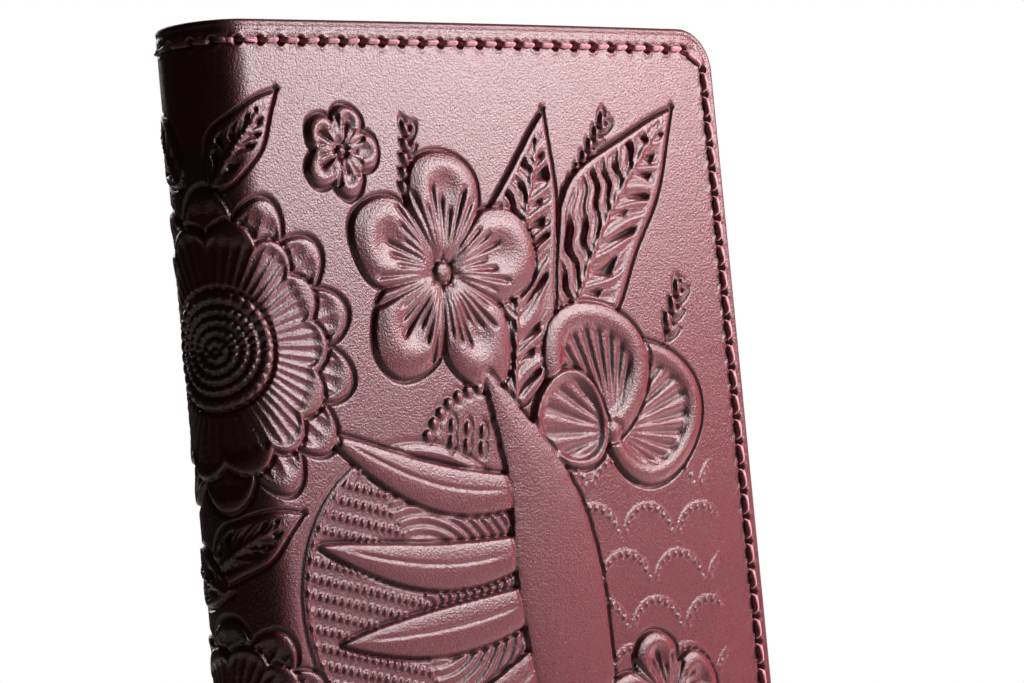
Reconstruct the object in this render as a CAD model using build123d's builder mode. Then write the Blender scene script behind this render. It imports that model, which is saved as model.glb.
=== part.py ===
"""Embossed leather passport cover, standing ajar on its bottom edge.

Millimetres, +Z up.  The spine stands at -X and the two covers run towards +X, the front
cover on the -Y side.  The origin is at the middle of the bottom of the whole cover.

The hide is one bent strip with the same outline from bottom to top.  A place on it is given
by its distance along the outer surface from the middle of the spine, negative towards the
front cover, and by its depth below that surface.  Four bending lines part the hide and its
lining into a front cover, three strips of spine and a back cover.
"""

import os
from math import asin, cos, degrees, radians, sin, tan

from build123d import *

# Overall sizes
cover_height = 136.0  # along the spine
cover_length = 87.2  # from a cover's bending line to its fore-edge
cover_bow = 0.8  # how far the middle of a cover bulges out of flat
spine_radius = 7.6  # outer surface of the rounded spine
corner_radius = 6.0  # at the four fore-edge corners
ajar_angle = 24.0  # between the two covers as the part stands

# Layers, from the outside in
hide_thickness = 1.6
lining_thickness = 0.6
pocket_leather = 1.0
pocket_room = 0.9  # for the passport's own cover
card_leather = 0.8
card_room = 0.8

# Bending lines
bend_gap = 0.3  # between two strips at the outer surface
closing_spare = 1.0  # degrees of wedge left beside a bending line when the cover is shut

# Seam
stitch_pitch = 3.6
stitch_hole = 1.1
thread_width = 0.9
thread_height = 0.4
stitch_clearance = 0.02  # between a stitch and the face it lies on
seam_margin = 3.0  # from the top and bottom edges to the seam
fore_seam_margin = 2.1  # from the fore-edge to the seam
corner_step = 2.8  # from the line of the top seam to the first hole down the fore-edge

# Passport pockets, sewn to a cover around three sides
front_pocket_width = 50.0
back_pocket_width = 67.0
pocket_border = 4.6  # width of the sewn edge
thumb_notch = 9.0  # radius of the half-moon in a pocket's free edge

# Card pockets, sewn to the back passport pocket and open at the top
card_pocket_width = 60.0
card_pocket_base = 8.0  # from the bottom of the cover
upper_card_height = 88.0
lower_card_height = 54.0
card_border = 3.0
card_seam_margin = 1.5
card_stitch_pitch = 3.0
card_stitch_hole = 0.8

# The bent hide, worked out
bow_radius = cover_length**2 / (8 * cover_bow) + cover_bow / 2
bow_half_angle = degrees(asin(cover_length / (2 * bow_radius)))
spine_half_angle = 90 - ajar_angle / 2 - bow_half_angle
outer_bend = radians(spine_half_angle) * spine_radius
inner_bend = outer_bend / 3
fore_edge = outer_bend + cover_length
bending_lines = (-outer_bend, -inner_bend, inner_bend, outer_bend)
wedge_angle = ajar_angle / 8 + closing_spare

# Depths of the layers below the outer surface
lining_depth = hide_thickness
pocket_depth = lining_depth + lining_thickness
panel_depth = pocket_depth + pocket_room
upper_card_depth = panel_depth + pocket_leather
lower_card_depth = upper_card_depth + card_room + card_leather

# Seam lines
seam_column = fore_edge - fore_seam_margin
seam_top = cover_height - seam_margin


def from_spine_axis(along, depth):
    """X, Y and heading of a place on the back half of the hide."""
    if along <= outer_bend:
        heading = 90 - degrees(along / spine_radius)
        radius, centre_x, centre_y = spine_radius, 0.0, 0.0
    else:
        start = radians(90 - spine_half_angle)
        heading = degrees(start - (along - outer_bend) / bow_radius)
        radius = bow_radius
        centre_x = (bow_radius - spine_radius) * sin(start)
        centre_y = -(bow_radius - spine_radius) * cos(start)
    turn = radians(heading)
    x = centre_x - (radius - depth) * sin(turn)
    y = centre_y + (radius - depth) * cos(turn)
    return x, y, heading


reach_back = spine_radius + stitch_clearance + thread_height
reach_front = from_spine_axis(fore_edge, upper_card_depth)[0]
spine_axis_x = (reach_back - reach_front) / 2


def side_of(along):
    return -1 if along < 0 else 1


def place(along, depth):
    """Point of the hide seen from above."""
    x, y, _ = from_spine_axis(abs(along), depth)
    return spine_axis_x + x, side_of(along) * y


def point(along, depth, height):
    return Vector(*place(along, depth), height)


def outward(along):
    """Direction off the outer surface."""
    heading = radians(from_spine_axis(abs(along), 0)[2])
    return Vector(-sin(heading), side_of(along) * cos(heading), 0)


def strip_end(edge, depth, away):
    """Where a strip ends at this depth, which beside a bending line leaves a wedge open."""
    if edge not in bending_lines:
        return edge
    radius = bow_radius if edge * away == outer_bend else spine_radius
    wedge = depth * tan(radians(wedge_angle)) * radius / (radius - depth)
    return edge + away * (bend_gap / 2 + wedge)


def layer_section(start, end, depth, thickness, bottom=0.0):
    """Outline of one layer of the hide between two places along it."""
    faces = []
    for face_depth in (depth, depth + thickness):
        first = strip_end(start, face_depth, 1)
        last = strip_end(end, face_depth, -1)
        faces.append([place(along, face_depth) for along in (first, (first + last) / 2, last)])
    with BuildSketch(Plane.XY.offset(bottom)) as section:
        with BuildLine():
            ThreePointArc(*faces[0])
            Line(faces[0][2], faces[1][2])
            ThreePointArc(*faces[1])
            Line(faces[1][0], faces[0][0])
        make_face()
    return section.sketch


def corners_at(sheet, along, depth):
    """The short edges at the corners of a sheet's end."""
    end_face = sheet.faces().sort_by_distance(point(along, depth, cover_height / 2))[0]
    return end_face.edges().filter_by(Axis.Z, reverse=True)


def drill(holes, depth, thickness, diameter=stitch_hole):
    """Cut stitch holes square through one layer."""
    planes = []
    for along, height in holes:
        planes.append(Plane(point(along, depth, height), x_dir=(0, 0, 1), z_dir=outward(along)))
    with Locations(*planes):
        Hole(diameter / 2, depth=thickness)


def stitch_plane(start, end, depth, inside):
    """Plane of the stitch between two holes: X along the stitch, Z off the face."""
    ends = [point(along, depth, height) for along, height in (start, end)]
    middle = (start[0] + end[0]) / 2
    off_face = outward(middle) * (-1 if inside else 1)
    origin = sum(ends, Vector()) / 2
    if not inside:
        origin = point(middle, depth, origin.Z)
    return Plane(origin, x_dir=ends[1] - ends[0], z_dir=off_face), (ends[1] - ends[0]).length


def stitches(pairs, depth_at, inside, hole=stitch_hole):
    """Half-round stitches lying on a face, one for each pair of holes."""
    by_length = {}
    for start, end in pairs:
        plane, span = stitch_plane(start, end, depth_at(start, end), inside)
        by_length.setdefault(round(span - hole, 2), []).append(plane)
    for length, planes in by_length.items():
        with Locations(*planes):
            add(stitch_bar(length))


def stitch_bar(length):
    half_width = thread_width / 2
    with BuildPart() as bar:
        with BuildSketch(Plane.YZ.offset(-length / 2)):
            with BuildLine():
                Line((half_width, stitch_clearance), (-half_width, stitch_clearance))
                crown = (0, stitch_clearance + thread_height)
                ThreePointArc((-half_width, stitch_clearance), crown, (half_width, stitch_clearance))
            make_face()
        extrude(amount=length)
    return bar.part


def neighbours(holes):
    return list(zip(holes, holes[1:]))


def seam_holes(side):
    """A cover's seam: along the top, down the fore-edge and back along the bottom."""
    first = outer_bend + stitch_pitch / 2
    steps = int((seam_column - first) / stitch_pitch)
    row = [seam_column - stitch_pitch * step for step in range(steps, 0, -1)]
    drop = seam_top - seam_margin - 2 * corner_step
    rungs = round(drop / stitch_pitch)
    column = [seam_top - corner_step - drop * rung / rungs for rung in range(rungs + 1)]
    holes = [(side * along, seam_top) for along in row]
    holes += [(side * seam_column, height) for height in column]
    return holes + [(side * along, seam_margin) for along in row[::-1]]


def export(builder, name):
    builder.part.label = name
    export_step(builder.part, f"parts/{name}.step")


os.makedirs("parts", exist_ok=True)

# Covers: hide, lining, passport pocket and seam, one set for each side
covers = {"front": (-1, front_pocket_width), "back": (1, back_pocket_width)}
for name, (side, pocket_width) in covers.items():
    ends = sorted((side * outer_bend, side * fore_edge))
    holes = seam_holes(side)

    with BuildPart() as hide:
        extrude(layer_section(*ends, 0, hide_thickness), amount=cover_height)
        fillet(corners_at(hide, side * fore_edge, hide_thickness / 2), corner_radius)
        drill(holes, 0, hide_thickness)
    export(hide, f"{name}_cover_hide")

    with BuildPart() as lining:
        extrude(layer_section(*ends, lining_depth, lining_thickness), amount=cover_height)
        middle_depth = lining_depth + lining_thickness / 2
        fillet(corners_at(lining, side * fore_edge, middle_depth), corner_radius)
        drill(holes, lining_depth, lining_thickness)
    export(lining, f"{name}_cover_lining")

    free_edge = side * (fore_edge - pocket_width)
    room_end = side * (fore_edge - pocket_border)
    with BuildPart() as pocket:
        edges = sorted((free_edge, side * fore_edge))
        sheet = layer_section(*edges, pocket_depth, pocket_room + pocket_leather)
        extrude(sheet, amount=cover_height)
        middle_depth = (pocket_depth + upper_card_depth) / 2
        fillet(corners_at(pocket, side * fore_edge, middle_depth), corner_radius)
        room = layer_section(*sorted((free_edge, room_end)), pocket_depth, pocket_room, pocket_border)
        extrude(room, amount=cover_height - 2 * pocket_border, mode=Mode.SUBTRACT)
        notch = point(free_edge, pocket_depth, cover_height / 2)
        with Locations(Plane(notch, x_dir=(0, 0, 1), z_dir=outward(free_edge))):
            Cylinder(thumb_notch, 2 * upper_card_depth, mode=Mode.SUBTRACT)
        on_pocket = [hole for hole in holes if abs(hole[0]) > abs(free_edge) - stitch_hole]
        drill(on_pocket, pocket_depth, pocket_room + pocket_leather)
    export(pocket, f"{name}_passport_pocket")

    def inner_face(start, end, edge=abs(free_edge)):
        return upper_card_depth if max(abs(start[0]), abs(end[0])) > edge else pocket_depth

    with BuildPart() as thread:
        stitches(neighbours(holes), lambda start, end: 0.0, inside=False)
        stitches(neighbours(holes), inner_face, inside=True)
    export(thread, f"{name}_cover_thread")

# Spine: three strips of hide, each with its lining and its stitches at the top and bottom
strips = dict(zip(("front", "middle", "back"), zip(bending_lines, bending_lines[1:])))
for name, (start, end) in strips.items():
    middle = (start + end) / 2
    heights = (seam_margin, seam_top)
    pairs = [tuple((middle + half * stitch_pitch / 2, z) for half in (-1, 1)) for z in heights]
    holes = [hole for pair in pairs for hole in pair]

    with BuildPart() as hide:
        extrude(layer_section(start, end, 0, hide_thickness), amount=cover_height)
        drill(holes, 0, hide_thickness)
    export(hide, f"spine_{name}_hide")

    with BuildPart() as lining:
        extrude(layer_section(start, end, lining_depth, lining_thickness), amount=cover_height)
        drill(holes, lining_depth, lining_thickness)
    export(lining, f"spine_{name}_lining")

    with BuildPart() as thread:
        stitches(pairs, lambda start, end: 0.0, inside=False)
        stitches(pairs, lambda start, end: pocket_depth, inside=True)
    export(thread, f"spine_{name}_thread")

# Card pockets on the back passport pocket, the lower one in front of the upper one
card_far = fore_edge - pocket_border
card_near = card_far - card_pocket_width
card_sides = (card_near + card_seam_margin, card_far - card_seam_margin)
card_tops = {"upper": upper_card_height, "lower": lower_card_height}
card_depths = {"upper": upper_card_depth, "lower": lower_card_depth}


def card_seam(bottom_row, start, top):
    """Stitch holes down both sides of a card pocket, and along its bottom."""
    steps = int((top - start) / card_stitch_pitch)
    heights = [start + card_stitch_pitch * step for step in range(steps, -1, -1)]
    near = [(card_sides[0], height) for height in heights]
    far = [(card_sides[1], height) for height in heights[::-1]]
    if not bottom_row:
        return [near, far]
    steps = round((card_sides[1] - card_sides[0]) / card_stitch_pitch)
    step_width = (card_sides[1] - card_sides[0]) / steps
    row = [(card_sides[0] + step_width * step, start) for step in range(1, steps)]
    return [near + row + far]


card_foot = card_pocket_base + card_seam_margin
card_rows = {
    "lower": card_seam(True, card_foot, card_pocket_base + lower_card_height - card_seam_margin),
    "upper": card_seam(
        False,
        card_pocket_base + lower_card_height + card_seam_margin,
        card_pocket_base + upper_card_height - card_seam_margin,
    ),
}
for name, height in card_tops.items():
    depth = card_depths[name]
    with BuildPart() as pocket:
        sheet = layer_section(card_near, card_far, depth, card_room + card_leather, card_pocket_base)
        extrude(sheet, amount=height)
        room_sides = (card_near + card_border, card_far - card_border)
        room = layer_section(*room_sides, depth, card_room, card_pocket_base + card_border)
        extrude(room, amount=height, mode=Mode.SUBTRACT)
        notch = point(sum(room_sides) / 2, depth, card_pocket_base + height)
        with Locations(Plane(notch, z_dir=outward(card_near))):
            Cylinder(thumb_notch, 4 * (card_room + card_leather), mode=Mode.SUBTRACT)
        # The lower pocket's stitches go through the upper pocket too
        rows = card_rows["lower"] + (card_rows["upper"] if name == "upper" else [])
        holes = [hole for row in rows for hole in row]
        drill(holes, depth, card_room + card_leather, card_stitch_hole)
    export(pocket, f"{name}_card_pocket")

with BuildPart() as card_thread:
    for name, rows in card_rows.items():
        face = card_depths[name] + card_room + card_leather
        for row in rows:
            stitches(neighbours(row), lambda start, end: face, inside=True, hole=card_stitch_hole)
export(card_thread, "card_pocket_thread")
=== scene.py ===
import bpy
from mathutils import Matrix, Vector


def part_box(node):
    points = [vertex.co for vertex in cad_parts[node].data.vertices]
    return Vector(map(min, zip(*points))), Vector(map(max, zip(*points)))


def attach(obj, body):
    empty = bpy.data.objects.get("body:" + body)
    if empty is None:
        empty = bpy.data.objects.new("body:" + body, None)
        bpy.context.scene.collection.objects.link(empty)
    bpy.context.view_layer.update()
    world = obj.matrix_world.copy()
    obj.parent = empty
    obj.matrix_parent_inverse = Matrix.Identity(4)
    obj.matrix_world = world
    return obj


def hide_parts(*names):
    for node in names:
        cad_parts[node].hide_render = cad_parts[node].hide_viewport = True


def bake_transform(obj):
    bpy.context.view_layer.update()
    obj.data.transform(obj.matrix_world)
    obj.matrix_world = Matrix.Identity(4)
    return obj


bl_info = {
    "name": "Embossed passport cover",
    "version": (1, 0, 0),
    "blender": (4, 5, 0),
    "location": "3D View > Sidebar > Passport cover",
    "description": "Pressed hide, lining, pockets and hand-sewn thread of a leather passport cover",
    "category": "Add Mesh",
}

import bmesh
import bpy
import numpy as np
from mathutils import Matrix, Vector

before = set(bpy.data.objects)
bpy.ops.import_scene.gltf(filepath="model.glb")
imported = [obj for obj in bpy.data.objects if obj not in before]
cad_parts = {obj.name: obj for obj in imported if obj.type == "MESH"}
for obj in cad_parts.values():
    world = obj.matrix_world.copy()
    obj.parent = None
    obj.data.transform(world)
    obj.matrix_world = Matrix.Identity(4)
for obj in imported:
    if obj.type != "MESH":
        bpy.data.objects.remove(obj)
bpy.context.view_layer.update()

MM = 0.001
FRONT, BACK = -1, 1
OUT, IN = 1, -1  # which way a sheet's finished face looks


def node_box(node):
    """Lowest and highest corner of a solid piece, in millimetres."""
    return [np.array(corner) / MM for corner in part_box(node)]


# The bent hide.  Places on it are distances along its outer face from the middle of the
# spine, positive towards the front cover, heights, and depths below that face.
HEIGHT = node_box("front_cover_hide")[1][2]
COVER_LENGTH = 87.2
COVER_BOW = 0.8
SPINE_RADIUS = 7.6
AJAR_ANGLE = 24.0
CORNER_RADIUS = 6.0
HIDE = 1.6
LINING = 0.6
BOW_RADIUS = COVER_LENGTH**2 / (8 * COVER_BOW) + COVER_BOW / 2
SPINE_TURN = np.radians(90 - AJAR_ANGLE / 2) - np.arcsin(COVER_LENGTH / (2 * BOW_RADIUS))
SPINE_HALF = SPINE_TURN * SPINE_RADIUS
FORE_EDGE = SPINE_HALF + COVER_LENGTH
SPINE_AXIS = node_box("spine_middle_hide")[0][0] + SPINE_RADIUS

# Bending lines and the places where the bending pieces meet
INNER_BEND, OUTER_BEND = SPINE_HALF / 3, SPINE_HALF
STRIP_MIDDLE = (INNER_BEND + OUTER_BEND) / 2
BEND_REACH = 3.0
COVER_START = OUTER_BEND + BEND_REACH
JOIN_LINES = (COVER_START, STRIP_MIDDLE, 0.0, -STRIP_MIDDLE, -COVER_START)
BENDS = (
    ("front_cover", "spine_front"),
    ("spine_front", "spine_middle"),
    ("spine_middle", "spine_back"),
    ("spine_back", "back_cover"),
)

# Pockets
POCKET_DEPTH = HIDE + LINING
POCKET_ROOM = 0.9
POCKET_LEATHER = 1.0
INNER_CELL = 0.7
CARD_ROOM = 0.8
CARD_LEATHER = 0.8
POCKET_WIDTHS = {"front": 50.0, "back": 67.0}
POCKET_BORDER = 4.6
THUMB_NOTCH = 9.0
CARD_WIDTH = 60.0
CARD_BASE = 8.0
CARD_TOPS = {"upper": 88.0, "lower": 54.0}
UPPER_CARD_DEPTH = POCKET_DEPTH + POCKET_ROOM + POCKET_LEATHER
CARD_DEPTHS = {"upper": UPPER_CARD_DEPTH, "lower": UPPER_CARD_DEPTH + CARD_ROOM + CARD_LEATHER}
CARD_SEAM_MARGIN = 1.5
CARD_PITCH = 3.0
CARD_HOLE = 0.8

# Rounding of the sheets' edges
HIDE_EDGE, LINING_EDGE, POCKET_EDGE, CARD_EDGE = 0.55, 0.35, 0.42, 0.36

# Seam
PITCH = 3.6
HOLE = 1.25
HOLE_SHARE = 0.62  # of a hole's width, out to the foot of its slope
HOLE_DEPTH = 0.75
SEAM_REACH = 3
SEAM_MARGIN = 3.0
FORE_SEAM_MARGIN = 2.1
CORNER_STEP = 2.8
SEAM_COLUMN = FORE_EDGE - FORE_SEAM_MARGIN
SEAM_TOP = HEIGHT - SEAM_MARGIN

# Shares of the drawn pattern's height and depth that the press leaves
RAISE, SINK = 0.62, 0.95


def ramp(value):
    """Smooth step from 0 at 0 to 1 at 1."""
    t = np.clip(value, 0, 1)
    return t * t * (3 - 2 * t)


def bump(distance, width):
    return np.exp(-((distance / width) ** 2))


def hide_place(along, depth):
    """X and Y of places on the bent hide, in millimetres."""
    along, depth = np.broadcast_arrays(np.asarray(along, float), np.asarray(depth, float))
    away = np.abs(along)
    on_spine = away <= SPINE_HALF
    start = np.pi / 2 - SPINE_TURN
    heading = np.where(on_spine, np.pi / 2 - away / SPINE_RADIUS, start - (away - SPINE_HALF) / BOW_RADIUS)
    radius = np.where(on_spine, SPINE_RADIUS, BOW_RADIUS)
    centre_x = np.where(on_spine, 0, (BOW_RADIUS - SPINE_RADIUS) * np.sin(start))
    centre_y = np.where(on_spine, 0, (SPINE_RADIUS - BOW_RADIUS) * np.cos(start))
    x = SPINE_AXIS + centre_x - (radius - depth) * np.sin(heading)
    y = centre_y + (radius - depth) * np.cos(heading)
    return x, np.where(along > 0, -y, y)


def hide_points(along, up, depth):
    """Points in metres."""
    x, y = hide_place(along, depth)
    return np.stack([x, y, np.broadcast_to(up, x.shape)], -1) * MM


def hide_point(along, up=0.0, depth=0.0):
    return Vector(hide_points(along, up, depth).tolist())


# ---------------------------------------------------------------- pressed pattern


class Relief:
    """Height of the pattern over a grid of places on the hide, laid on motif by motif."""

    def __init__(self, along, up):
        self.along = along
        self.up = up
        self.height = np.zeros_like(along)
        self.low = np.array([along.min(), up.min()])
        self.high = np.array([along.max(), up.max()])

    def misses(self, centre, reach):
        """True where a motif lies wholly off this grid."""
        centre = np.array(centre)
        return bool(np.any(centre + reach < self.low) or np.any(centre - reach > self.high))

    def local(self, origin, turn):
        """Distances along and across an axis turned from the hide's length, in degrees."""
        c, s = np.cos(np.radians(turn)), np.sin(np.radians(turn))
        x, y = self.along - origin[0], self.up - origin[1]
        return x * c + y * s, y * c - x * s

    def polar(self, centre, turn=0.0):
        x, y = self.local(centre, turn)
        return np.hypot(x, y), np.arctan2(y, x)

    def lay(self, inside, height, edge=0.3, groove=0.3):
        """Cover what is there inside an outline, and press a groove round it."""
        self.height += ramp(inside / edge + 0.5) * (height - self.height)
        self.height -= groove * bump(inside + 0.22, 0.23)


def axis_of(base, tip):
    run, rise = tip[0] - base[0], tip[1] - base[1]
    return np.hypot(run, rise), np.degrees(np.arctan2(rise, run))


def shoulder(inside, width):
    """Rounded rise from an outline to its full height."""
    t = np.clip(inside / width, 0, 1)
    return np.sqrt(1 - (1 - t) ** 2)


def from_bead(away, angle, radius, step):
    """Distance from the nearest bead of a ring, and that bead's angle."""
    nearest = np.round(angle / step) * step
    turned = angle - nearest
    return np.hypot(away * np.cos(turned) - radius, away * np.sin(turned)), nearest


def beads_round(relief, centre, radius, bead, count, rise=0.45, span=(0.0, 360.0)):
    """A ring, or an arc, of round beads."""
    if relief.misses(centre, radius + bead):
        return
    away, angle = relief.polar(centre)
    off, nearest = from_bead(away, angle, radius, 2 * np.pi / count)
    within = (np.degrees(nearest) - span[0]) % 360 <= span[1] - span[0]
    relief.lay(np.where(within, bead - off, -9), rise * shoulder(bead - off, bead), 0.2, 0.18)


def petal_outline(x, y, reach, half_width, widest=0.6):
    """How far inside a petal a place lies: it widens from its root and ends in a round."""
    tip = 1 - np.hypot((x / reach - widest) / (1 - widest), y / half_width)
    tip = tip * min((1 - widest) * reach, half_width)
    share = np.clip(x / (widest * reach), 0, 1)
    root = half_width * np.sin(np.pi / 2 * share) ** 0.9 - np.abs(y)
    return np.where(x > widest * reach, tip, np.where(x > 0, root, -9))


def flower(relief, centre, reach, petals=5, turn=0.0, width=0.5, veins=9, eye=1.5, rays=8, rim=0.75):
    """Open flower with rolled petal edges, pressed veins and a bead for its eye."""
    if relief.misses(centre, reach * 1.1):
        return
    away, angle = relief.polar(centre, turn)
    step = 2 * np.pi / petals
    number = np.round(angle / step)
    off = angle - number * step
    own_reach = reach * (1 + 0.07 * np.sin(number * 2.4 + turn))
    t = away * np.cos(off) / own_reach
    across = away * np.sin(off) + 0.02 * reach * np.sin(number * 4 + 3 * t)
    wave = 1 + 0.05 * np.sin(7 * t + number * 1.7)
    inside = petal_outline(away * np.cos(off) * wave, across, reach, width * reach, 0.62)
    rolled = 0.05 + rim * bump(inside - 0.16 * reach, 0.13 * reach) + 0.3 * shoulder(inside, 0.12 * reach)
    lines = 0.5 + 0.5 * np.cos(off * veins * 2 * np.pi / step)
    ends = 0.62 + 0.1 * np.sin(np.round(off * veins / step) * 2.1 + number)
    drop_shape = 0.55 + 0.9 * ramp((t - 0.3) * 3)
    pressed = drop_shape * lines**2 * ramp((t - 0.14) * 8) * ramp((ends - t) * 12)
    relief.lay(inside, rolled * ramp(t * 3.2) - 0.5 * pressed + 0.06, 0.3, 0.5)
    spokes = 0.5 + 0.5 * np.cos(angle * rays)
    relief.height -= 0.35 * spokes**6 * bump(away - eye * 1.45, eye * 0.4)
    relief.lay(eye - away, 0.75 * shoulder(eye - away, eye * 0.9), 0.25, 0.4)


def leaf(relief, base, tip, width, bend=0.0, spacing=3.1, slant=1.25):
    """Pointed leaf with a plain rim, a midrib and deep slanting side veins."""
    length, turn = axis_of(base, tip)
    if relief.misses(base, length * 1.1):
        return
    p, q = relief.local(base, turn)
    t = np.clip(p / length, 0, 1)
    q = q - bend * np.sin(np.pi * t)
    half = width * np.sin(np.pi * t**0.72) ** 0.9 * (1 + 0.1 * np.sin(10 * t + width + 1.3 * np.sign(q)))
    inside = np.minimum(half - np.abs(q), np.minimum(p, length - p) * 0.6 + 0.05)
    side = np.where(q > 0, 0.0, 0.45)
    lean = slant * (1 + 0.25 * np.sin(p * 0.31 + width))
    phase = (p - lean * np.abs(q) + 0.5 * np.sin(p * 0.9 + q)) / spacing + side
    tooth = phase - np.floor(phase)
    number = np.floor(phase)
    outer = np.abs(q) / (half + 0.01)
    end = 0.66 + 0.2 * np.sin(number * 2.4 + 3 * side)
    start = 0.74 - 0.34 * np.clip(outer / end, 0, 1) ** 2
    notch = ramp((tooth - start) * 6) * ramp((1 - tooth) * 6)
    valley = 0.3 * ramp(tooth * 1.2) * ramp((1 - tooth) * 6)
    cut = (0.3 + 0.75 * ramp(outer * 1.6)) * notch * ramp((end - outer) * 7)
    cut += valley * ramp((0.9 - outer) * 5)
    depth = cut * ramp((np.abs(q) - 0.2) / 0.5) * ramp((inside - 0.9) / 0.5)
    fold = 0.12 * np.sin(2 * np.pi * (phase * 2 + 0.3 * np.sign(q))) * ramp((inside - 1.0) / 0.6)
    rib = 0.25 * bump(q, 0.4) * ramp((length * 0.9 - p) / 4)
    relief.lay(inside, 0.22 + 0.34 * shoulder(inside, 1.0) - depth + fold + rib, 0.3, 0.55)


def blade(relief, base, tip, width, bend=0.0, rise=1.0):
    """Long smooth leaf, full along its middle, with a fine pressed midrib."""
    length, turn = axis_of(base, tip)
    if relief.misses(base, length * 1.15):
        return
    p, q = relief.local(base, turn)
    t = np.clip(p / length, 0, 1)
    q = q - bend * np.sin(np.pi * t**0.9)
    half = width * (np.sin(np.pi * (0.16 + 0.84 * t) ** 1.05)) ** 0.75
    inside = np.minimum(half - np.abs(q), length - p)
    inside = np.where(p < -width, -9, inside)
    crown = 0.15 + rise * 0.72 * shoulder(inside, width * 0.95)
    midrib = 0.3 * bump(q + 0.1 * width, 0.22) * ramp((t - 0.12) * 6) * ramp((0.9 - t) * 8)
    relief.lay(inside, crown - midrib, 0.3, 0.5)


def rounded(path, times=2):
    """A path with its corners cut into a smooth run."""
    for _ in range(times):
        start, end = path[:-1], path[1:]
        inner = np.stack([0.75 * start + 0.25 * end, 0.25 * start + 0.75 * end], 1)
        path = np.vstack([path[:1], inner.reshape(-1, path.shape[1]), path[-1:]])
    return path


def stalk(relief, points, widths, rise=0.95):
    """Round stalk through a few points, with its own half-width at each."""
    best = np.full_like(relief.along, -9.0)
    path = rounded(np.column_stack([points, widths]))
    for (*a, wa), (*b, wb) in zip(path, path[1:]):
        length, turn = axis_of(a, b)
        p, q = relief.local(a, turn)
        t = np.clip(p / length, 0, 1)
        best = np.maximum(best, wa + (wb - wa) * t - np.hypot(p - t * length, q))
    relief.lay(best, 0.1 + rise * 0.8 * shoulder(best, max(widths) * 0.8), 0.3, 0.5)


def sprig(relief, base, tip, pairs=6, size=1.9):
    """Ear of grain: paired drops up a fine stalk."""
    length, turn = axis_of(base, tip)
    if relief.misses(base, length + size * 2):
        return
    p, q = relief.local(base, turn)
    step = length / pairs
    relief.lay(np.minimum(0.16 - np.abs(q), np.minimum(p + 2 * step, length - p)), 0.25, 0.2, 0.15)
    for side in (-1, 1):
        shift = step * (0.25 if side > 0 else 0.0)
        number = np.clip(np.round((p - shift) / step), 0, pairs - 1)
        shrink = 1 - 0.35 * number / pairs
        x = p - shift - number * step - 0.45 * size * 0.5
        y = side * q - 0.36 * size * shrink
        x, y = x * 0.9 + y * 0.42, y * 0.9 - x * 0.42
        inside = 0.34 * size * shrink - np.hypot(x * 0.45, y)
        relief.lay(inside, 0.5 * shoulder(inside, 0.3 * size), 0.2, 0.3)


def rosette(relief, centre, reach, petals=14, turn=0.0):
    """Large rosette with ringed beads in its middle and two rows of ribbed petals."""
    if relief.misses(centre, reach * 1.15):
        return
    away, angle = relief.polar(centre, turn)
    for row, (inner, outer, shift, lift) in enumerate(((0.42, 1.08, 0.5, 0.1), (0.36, 0.86, 0.0, 0.4))):
        step = 2 * np.pi / petals
        number = np.round(angle / step - shift)
        off = angle - (number + shift) * step
        own = reach * outer * (1 + 0.05 * np.sin(number * 3.1 + row))
        t = away * np.cos(off) / own
        inside = petal_outline(away * np.cos(off), away * np.sin(off), reach * outer, 0.44 * step * reach, 0.72)
        ribs = np.abs(np.sin(off * 4 * np.pi / step)) ** 0.8
        cup = ramp((inside - 0.5) / 0.7) * ramp((0.93 - t) * 9)
        height = lift * 0.5 + 0.5 * shoulder(inside, 1.0) - cup * (0.28 + 0.3 * ribs)
        relief.lay(inside, height, 0.3, 0.5)
    disc = inner * reach * 1.12
    relief.lay(disc - away, 0.1 + 0.45 * np.sqrt(np.clip(1 - (away / disc) ** 2, 0, 1)), 0.3, 0.45)
    rings = ((0.36, 0.85, 30), (0.27, 0.5, 34), (0.2, 0.5, 26), (0.13, 0.5, 17), (0.06, 0.5, 8))
    for share, size, count in rings:
        base = relief.height.copy()
        off, _ = from_bead(away, angle, reach * share, 2 * np.pi / count)
        relief.lay(size - off, base + 0.42 * shoulder(size - off, size), 0.2, 0.28)


def scallop(relief, hinge, centre, radius, ribs=26, rim=1.7):
    """Fan-shaped petal with a thick smooth rim and fine ribs running out from its hinge."""
    if relief.misses(centre, radius * 1.1):
        return
    away, angle = relief.polar(centre)
    inside = radius - away * (1 + 0.05 * np.sin(3 * angle + radius))
    from_hinge, fan = relief.polar(hinge)
    roll = 0.1 + 0.8 * bump(inside - rim * 0.75, rim * 0.8)
    bowl = ramp((inside - rim * 1.2) / 1.4)
    lines = 0.5 + 0.5 * np.cos(fan * ribs)
    strong = ramp((from_hinge - 1.5) / (radius * 0.9))
    deep = 0.12 - 0.42 * lines**1.5 * strong
    relief.lay(inside, roll * (1 - bowl) + deep * bowl, 0.3, 0.55)


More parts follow.
